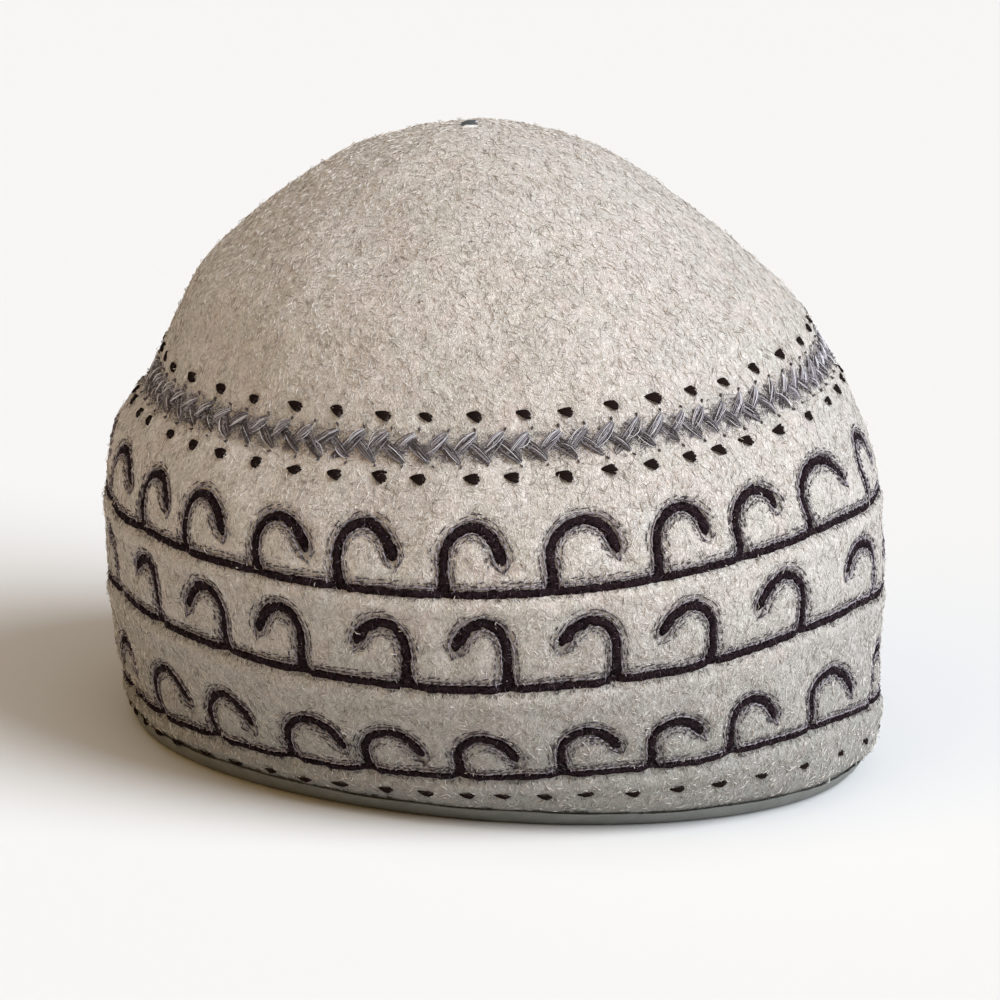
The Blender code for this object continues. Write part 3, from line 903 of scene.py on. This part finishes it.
def makeOutlines():
    pale, dark, pips, greyHaze, paleHaze = (Strands() for kind in range(5))
    stride = int(round(outline["pitch"] / hookForm["step"]))
    for name in hookRows:
        feet = np.array([hook[0] for hook in allHooks(hookRows[name])])
        tracks = [Track(pastTip(course), outline["closing"]) for course in hookCourses[name]]
        sides = [(track, side) for track in tracks for side in (-1, 1)]
        sides.append((Track(lineCourses[name]), 1))
        for track, side in sides:
            isLine = len(track.azimuth) == len(lineCourses[name][0])
            first = 0 if isLine else int(outline["start"] / hookForm["step"])
            index = np.arange(first, len(track.azimuth) - stride // 2, stride)
            if isLine:
                turn = (track.azimuth[index][:, None] - feet[None] + 180) % 360 - 180
                index = index[np.abs(turn).min(axis=1) * perDegree(lines[name], 0.0) > outline["footRoom"]]
            count = len(index)
            edge = track.breadth[index] / 2
            later = np.minimum(index + stride // 2, len(track.azimuth) - 1)
            left = side * (edge + palePly["gap"] + draw.normal(0, palePly["untidy"], count))
            addTwist(pale, track, index, left, palePly)
            # Dark strands between the pale turns: painted shade.
            kept = draw.uniform(0, 1, count) < turnShade["kept"]
            addTwist(dark, track, later[kept], left[kept] + side * turnShade["beside"], turnShade)
            # Dark pips along the outer edge: partly catching stitches, partly painted shade.
            kept = draw.uniform(0, 1, count) < pip["kept"]
            left = side * (edge + pip["gap"] + draw.normal(0, pip["untidy"], count))
            addTwist(pips, track, later[kept], left[kept], pip)
            addHaze(greyHaze, track, side, first, haze["greyShare"])
            addHaze(paleHaze, track, side, first, haze["paleShare"])
    pale.make("outlineThread", palePly["colour"], "grey_yarn", rings=2)
    dark.make("outlineShade", turnShade["colour"], "grey_yarn", rings=2)
    pips.make("outlinePips", pip["colour"], "grey_yarn", rings=2)
    greyHaze.make("hazeFibres", haze["grey"], "grey_yarn")
    paleHaze.make("hazeGlints", haze["pale"], "grey_yarn")


# Herringbone: each period has a stroke up to the right and one down to the right. Each passes under
# the other in its first half and over it in its second, so both show most towards the right.
herringbone = dict(
    periods=80, run=1.15, lag=0.40, rise=7.0 * mm, strands=9, strandWidth=0.38 * mm, spread=0.27 * mm,
    off=0.65 * mm, weave=0.45 * mm, untidy=0.30 * mm, glintWidth=0.22 * mm, glintOff=0.5 * mm,
    darkShareUp=0.30, darkShareDown=0.72, glintsUp=3, glintsDown=1,
)
bandShades = {
    "bandYarn": (0.290, 0.263, 0.282), "bandShade": (0.094, 0.080, 0.084), "bandGlint": (0.740, 0.720, 0.750),
}


# A point t of the way along each stroke, aside of its middle line.
def strokePoint(strokes, t, aside, off):
    first, last, rise, up = strokes
    azimuth = first + (last - first) * t
    height = lineHeight(lines["band"], azimuth) + up * rise * (t - 0.5)
    return stepped(azimuth, height, -up * aside * 0.62, aside * 0.78, off)


def makeHerringbone():
    period, spread = 360.0 / herringbone["periods"], herringbone["spread"]
    kinds = {name: [] for name in bandShades}
    for index in range(herringbone["periods"]):
        for start, up in ((index, 1), (index + herringbone["run"] + herringbone["lag"], -1)):
            first = start * period + draw.normal(0, 0.2)
            last = (start + herringbone["run"]) * period + draw.normal(0, 0.2)
            stroke = (first, last, herringbone["rise"] * draw.uniform(0.90, 1.10), up)
            for strand in range(herringbone["strands"]):
                isDark = draw.uniform() < herringbone["darkShareUp" if up > 0 else "darkShareDown"]
                aside = (strand - (herringbone["strands"] - 1) / 2) * spread
                kinds["bandShade" if isDark else "bandYarn"].append((*stroke, aside, 0.0))
            for glint in range(herringbone["glintsUp" if up > 0 else "glintsDown"]):
                aside, begin = draw.normal(0, 2.4) * spread, draw.uniform(0.25, 0.6)
                kinds["bandGlint"].append((*stroke, aside, begin))
    for name, parts in kinds.items():
        first, last, rise, up, aside, begin = np.array(parts).T
        isGlint = name == "bandGlint"
        stroke, untidy = (first, last, rise, up), draw.normal(0, herringbone["untidy"], len(parts))
        off = herringbone["off"] + (herringbone["glintOff"] if isGlint else 0.0)
        starts = strokePoint(stroke, begin, aside * 0.4, np.where(begin > 0, off * 0.5, -0.1 * mm))
        ends = strokePoint(stroke, 1.0, aside * 0.4 + untidy * 0.6, 0.0)
        bends = 2 * strokePoint(stroke, (1 + begin) / 2, aside * 1.2 + untidy, off) - (starts + ends) / 2
        azimuth = (first + last) / 2
        outs = wallNormal(azimuth, lineHeight(lines["band"], azimuth))
        width = herringbone["glintWidth"] if isGlint else herringbone["strandWidth"]
        strands = Strands()
        strands.add(starts, bends, ends, outs, width * draw.uniform(0.7, 1.25, len(parts)))
        if name == "bandShade":
            addBandPips(strands)
        nodes = ("herringbone_band",) if name == "bandYarn" else ()
        weave = 0.0 if isGlint else herringbone["weave"]
        strands.make(name, bandShades[name], "grey_yarn", *nodes, rings=5, blunt=0.5, weave=weave)


# Small dark pips where the band's yarn goes into the felt, above and below.
bandPip = dict(over=0.54, lean=0.5, length=1.1 * mm, width=0.8 * mm, offs=(-0.2 * mm, 0.7 * mm, -0.2 * mm))


def addBandPips(strands):
    period = 360.0 / herringbone["periods"]
    for phase, up in ((herringbone["run"], 1), (2 * herringbone["run"] + herringbone["lag"], -1)):
        azimuth = (np.arange(herringbone["periods"]) + phase) * period
        height = lineHeight(lines["band"], azimuth) + up * herringbone["rise"] * bandPip["over"]
        angle, length = draw.normal(math.pi / 2, bandPip["lean"], len(azimuth)), bandPip["length"] * up
        addLoose(strands, azimuth, height, angle, length, 0.0, bandPip["offs"], bandPip["width"])


# The band's woolly fuzz: mostly dark fibres between the strokes, with some pale ones over them. It is
# thicker round one azimuth, to the left.
bandFuzz = dict(
    half=3.7 * mm, spread=0.5, furthest=1.15, length=(0.9 * mm, 2.6 * mm), width=0.17 * mm,
    slant=0.7, bow=0.2, root=(0.0, 0.6 * mm), tip=(0.0, 0.7 * mm),
    thickAt=-72.0, thickShare=0.22, thickWidth=22.0,
    kinds=(  # name, count, lift, colour
        ("bandFuzz", 7500, (0.2 * mm, 1.9 * mm), (0.115, 0.100, 0.104)),
        ("bandWisps", 3000, (0.9 * mm, 2.3 * mm), (0.480, 0.450, 0.478)),
    ),
)


def makeBandFuzz():
    furthest = bandFuzz["furthest"]
    for name, count, lift, colour in bandFuzz["kinds"]:
        thick = draw.normal(bandFuzz["thickAt"], bandFuzz["thickWidth"], count)
        isThick = draw.uniform(0, 1, count) < bandFuzz["thickShare"]
        azimuth = np.where(isThick, thick, draw.uniform(0, 360, count))
        over = draw.normal(0, bandFuzz["spread"], count).clip(-furthest, furthest) * bandFuzz["half"]
        height = lineHeight(lines["band"], azimuth) + over
        offs = [draw.uniform(*reach, count) for reach in (bandFuzz["root"], lift, bandFuzz["tip"])]
        length = draw.uniform(*bandFuzz["length"], count)
        angle, bow = draw.normal(0, bandFuzz["slant"], count), draw.normal(0, bandFuzz["bow"], count)
        strands = Strands()
        addLoose(strands, azimuth, height, angle, length, bow, offs, bandFuzz["width"])
        strands.make(name, colour, "grey_yarn")


# Running stitches: a bundle of dark strands, drawn to a point at its left and full at its right.
running = dict(strands=8, length=4.8 * mm, height=1.9 * mm, strandWidth=0.80 * mm, puff=0.8 * mm)
edgeRunning = dict(strands=6, length=4.7 * mm, height=1.2 * mm, strandWidth=0.72 * mm, puff=0.6 * mm)
runningColour = (0.012, 0.007, 0.006)
# Lighter hairs over the running stitches: painted highlights.
runningHighlightHairs = dict(width=0.15 * mm, bow=0.2, colour=(0.095, 0.070, 0.062))
usualRadius = 0.1


def makeRunningStitches():
    parts = []
    for name, row in runningRows.items():
        form = edgeRunning if name == "overEdge" else running
        for azimuth in runningAzimuths(row):
            height = runningHeight(row, azimuth) + draw.normal(0, 0.15) * mm
            length = form["length"] * draw.uniform(0.88, 1.12)
            tall = form["height"] * draw.uniform(0.85, 1.15)
            lineSlope = lines["band"]["tilt"] * math.cos(math.radians(azimuth)) / usualRadius
            slope = lineSlope + draw.normal(0, 0.06)
            for strand in range(form["strands"]):
                place = strand / (form["strands"] - 1) - 0.6
                parts.append((azimuth, height, length, place, tall, slope, form["puff"], form["strandWidth"]))
    azimuth, height, length, place, tall, slope, puff, width = np.array(parts).T
    jitter, ragged = draw.normal(0, 0.08, len(parts)), draw.normal(0, 0.04, len(parts))
    right = length * (0.46 - 0.6 * (place + 0.1) ** 2 + ragged)
    left = -length * (0.5 + ragged)
    starts = stepped(azimuth, height, left, tall * 0.34 - slope * length / 2, -0.2 * mm)
    ends = stepped(azimuth, height, right, tall * (place * 1.1 + jitter) + slope * length / 2, -0.2 * mm)
    bends = stepped(azimuth, height, length * 0.16, tall * (place * 1.3 + jitter), puff * 2)
    strands = Strands()
    strands.add(starts, bends, ends, wallNormal(azimuth, height), width)
    strands.make("runningStitches", runningColour, "dark_cord", sides=4, rings=4, flat=0.8, blunt=0.65)

    # Lighter hairs over the stitches, painted highlights.
    count = len(parts)
    pick = draw.integers(0, count, count)
    azimuth, height, length, tall, puff = (values[pick] for values in (azimuth, height, length, tall, puff))
    angle, reach = draw.normal(-0.3, 0.7, count), length * draw.uniform(0.3, 0.7, count)
    offs = (puff * 0.7, puff * 1.5, puff * 0.5)
    height = height + tall * draw.uniform(-0.4, 0.35, count)
    azimuth = azimuth + np.degrees(length * draw.uniform(-0.3, 0.1, count) / usualRadius)
    bow = draw.normal(0, runningHighlightHairs["bow"], count)
    hairs = Strands()
    addLoose(hairs, azimuth, height, angle, reach, bow, offs, runningHighlightHairs["width"])
    hairs.make("runningHighlightHairs", runningHighlightHairs["colour"], "dark_cord")


# The stitched line at the binding's top: thin dark dashes, uneven in length and height.
bindingStitch = dict(
    rimRadius=0.098, spacing=3.4 * mm, length=2.9 * mm, width=0.40 * mm, over=5.0 * mm, kept=0.8,
    root=-0.7 * mm, lift=0.15 * mm, untidy=0.15 * mm, colour=(0.045, 0.048, 0.042),
)


def makeBindingStitches():
    count = int(2 * math.pi * bindingStitch["rimRadius"] / bindingStitch["spacing"])
    azimuth = np.arange(count) * 360.0 / count + draw.normal(0, 0.35, count)
    azimuth = azimuth[draw.uniform(0, 1, count) < bindingStitch["kept"]]
    count = len(azimuth)
    height = bindingStitch["over"] + draw.normal(0, bindingStitch["untidy"], count)
    reach = bindingStitch["length"] / 2 * draw.uniform(0.4, 1.2, count)
    slope = draw.normal(0, bindingStitch["untidy"], count)
    starts = stepped(azimuth, height, -reach, -slope, bindingStitch["root"])
    bends = stepped(azimuth, height, 0.0, 0.0, bindingStitch["lift"])
    ends = stepped(azimuth, height, reach, slope, bindingStitch["root"])
    widths = bindingStitch["width"] * draw.uniform(0.6, 1.3, count)
    strands = Strands()
    strands.add(starts, bends, ends, wallNormal(azimuth, height), widths)
    strands.make("bindingStitches", bindingStitch["colour"], "binding", sides=4, rings=3)


# The few slate stitches that close the crown, to the left of its highest point, and a pale one by them
# that paints a highlight. Rows are counted from the mark's middle towards the back.
crownMark = dict(
    place=(-0.0150, -0.0015), length=7.6 * mm, width=1.1 * mm, spacing=0.9 * mm,
    root=-0.3 * mm, lift=1.0 * mm, untidyAlong=0.35 * mm, untidyAside=0.1 * mm,
    kinds=(  # name, rows, colour
        ("crownStitches", (-3, -2, -1, 0, 1, 2, 3), (0.080, 0.088, 0.094)),
        # Pale strands by the slate ones: a painted highlight.
        ("crownPaintedHighlight", (-5, -6), (0.700, 0.700, 0.690)),
    ),
)
crownStart = -900  # in the tables, from where up the radius only shrinks


def onCrown(x, y, off):
    radius = np.hypot(x - levelShifts[-1], y)
    z = np.interp(radius, tableRadii[crownStart:][::-1], tableHeights[crownStart:][::-1])
    return np.stack([x, y, z + off], axis=-1)


def makeCrownStitches():
    spotX, spotY = crownMark["place"]
    for name, rows, colour in crownMark["kinds"]:
        count = len(rows)
        y = spotY + np.array(rows) * crownMark["spacing"] + draw.normal(0, crownMark["untidyAside"], count)
        x = spotX + draw.normal(0, crownMark["untidyAlong"], count)
        half = crownMark["length"] / 2 * draw.uniform(0.7, 1.1, count)
        starts, ends = onCrown(x - half, y, crownMark["root"]), onCrown(x + half, y, crownMark["root"])
        outs = np.tile((0.0, 0.0, 1.0), (count, 1))
        strands = Strands()
        strands.add(starts, onCrown(x, y, crownMark["lift"]), ends, outs, crownMark["width"])
        strands.make(name, colour, "grey_yarn", sides=5, rings=4)


# The camera stands at the photograph's angle over a plain floor under three soft lights.
camera = dict(
    elevation=12.4, roll=4.0, distance=1.45, target=(0.0, 0.0, 0.0824), lens=191.3,
    shift=(-0.0035, -0.0604),
)
lights = (  # name, direction it comes from, how wide it looks (degrees), strength, colour
    ("keyLight", (1.0, -0.38, 0.84), 50, 4.70, (0.862, 0.925, 1.0)),
    ("topLight", (-0.10, -0.20, 1.0), 60, 0.75, (1.0, 0.97, 0.94)),
    ("fillLight", (-0.70, -0.60, 0.50), 50, 0.68, (1.0, 0.62, 0.22)),
)
surroundings = dict(colour=(1.0, 0.84, 0.62), strength=0.13, floor=(0.75, 0.745, 0.74))


def makeSurroundings():
    bm = bmesh.new()
    bmesh.ops.create_grid(bm, x_segments=8, y_segments=8, size=12.0)
    mesh = bpy.data.meshes.new("studioFloor")
    bm.to_mesh(mesh)
    bm.free()
    mesh.materials.append(plainPaint("studioFloor", surroundings["floor"]))
    floor = bpy.data.objects.new("studioFloor", mesh)
    bpy.context.scene.collection.objects.link(floor)
    for name, source, width, strength, colour in lights:
        light = bpy.data.lights.new(name, "SUN")
        light.angle = math.radians(width)
        light.energy = strength
        light.color = colour
        lamp = bpy.data.objects.new(name, light)
        lamp.location = Vector(source)
        lamp.rotation_euler = (-Vector(source)).to_track_quat("-Z", "Y").to_euler()
        bpy.context.scene.collection.objects.link(lamp)
    world = bpy.data.worlds.new("studioWorld")
    world.use_nodes = True
    background = world.node_tree.nodes["Background"]
    background.inputs["Color"].default_value = (*surroundings["colour"], 1.0)
    background.inputs["Strength"].default_value = surroundings["strength"]
    bpy.context.scene.world = world
    bpy.context.scene.view_settings.view_transform = "Standard"


def makeCamera():
    elevation, roll = math.radians(camera["elevation"]), math.radians(camera["roll"])
    back = Vector((0.0, -math.cos(elevation), math.sin(elevation)))
    level, raised = Vector((1.0, 0.0, 0.0)), Vector((0.0, math.sin(elevation), math.cos(elevation)))
    right = level * math.cos(roll) + raised * math.sin(roll)
    up = raised * math.cos(roll) - level * math.sin(roll)
    made = bpy.data.cameras.new("photoCamera")
    made.lens = camera["lens"]
    made.shift_x, made.shift_y = camera["shift"]
    seat = bpy.data.objects.new("photoCamera", made)
    place = Vector(camera["target"]) + back * camera["distance"]
    seat.matrix_world = Matrix.Translation(place) @ Matrix((right, up, back)).transposed().to_4x4()
    bpy.context.scene.collection.objects.link(seat)
    bpy.context.scene.camera = seat


print("setting up the floor, lights and camera")
makeSurroundings()
makeCamera()
print("making the felt and its binding")
makeFelt()
makeBinding()
print("laying the cords and their outlines")
makeHookCords()
makeStrays()
makeOutlines()
print("stitching the band, the rows and the binding")
makeHerringbone()
makeBandFuzz()
makeRunningStitches()
makeBindingStitches()
makeCrownStitches()
print("scattering the felt's fibres")
makeFibres()
